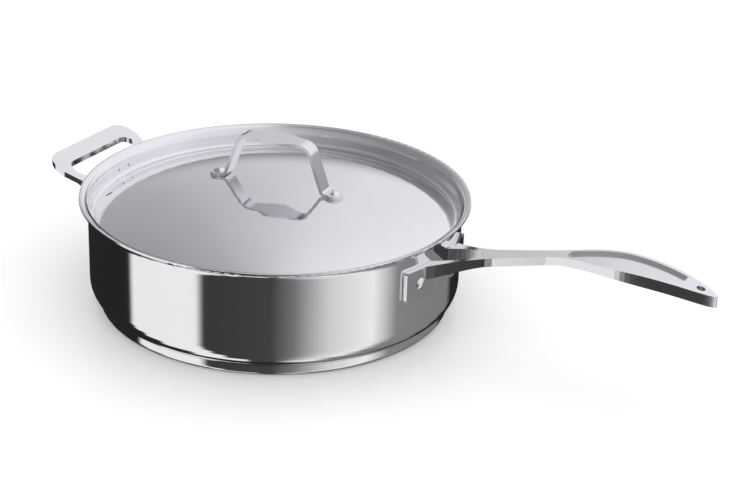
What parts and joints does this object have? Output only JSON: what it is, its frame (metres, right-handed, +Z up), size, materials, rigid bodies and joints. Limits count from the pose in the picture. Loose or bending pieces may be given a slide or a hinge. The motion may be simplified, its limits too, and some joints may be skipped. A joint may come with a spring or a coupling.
{
  "type": "saute pan with lid",
  "caption": "Polished stainless steel saute pan with a disc base, a forked long handle, a loop helper handle and a fitted lid with a strap handle",
  "frame": {"origin": "centre of the flat underside of the base, on the pan's axis", "axes": "+X along the long handle, -X towards the helper handle, +Z up, -Z out of the base"},
  "size_m": [0.5226, 0.2902, 0.1275],
  "materials": {
    "polished_steel": "polished",
    "cast_steel": "polished",
    "aluminium_core": "matte"
  },
  "bodies": {
    "pan": {"pan_body": "polished_steel", "base_core": "aluminium_core", "base_cap": "polished_steel", "long_handle": "cast_steel", "long_handle_rivets": "polished_steel", "helper_handle": "cast_steel", "helper_handle_rivets": "polished_steel"},
    "lid": {"lid_shell": "polished_steel", "lid_handle": "cast_steel", "lid_handle_rivets": "polished_steel"}
  },
  "joints": [
    {"name": "lid_lift", "type": "slide", "parent": "pan", "child": "lid", "axis": [0, 0, 1], "range_m": [0, 0.1]}
  ]
}
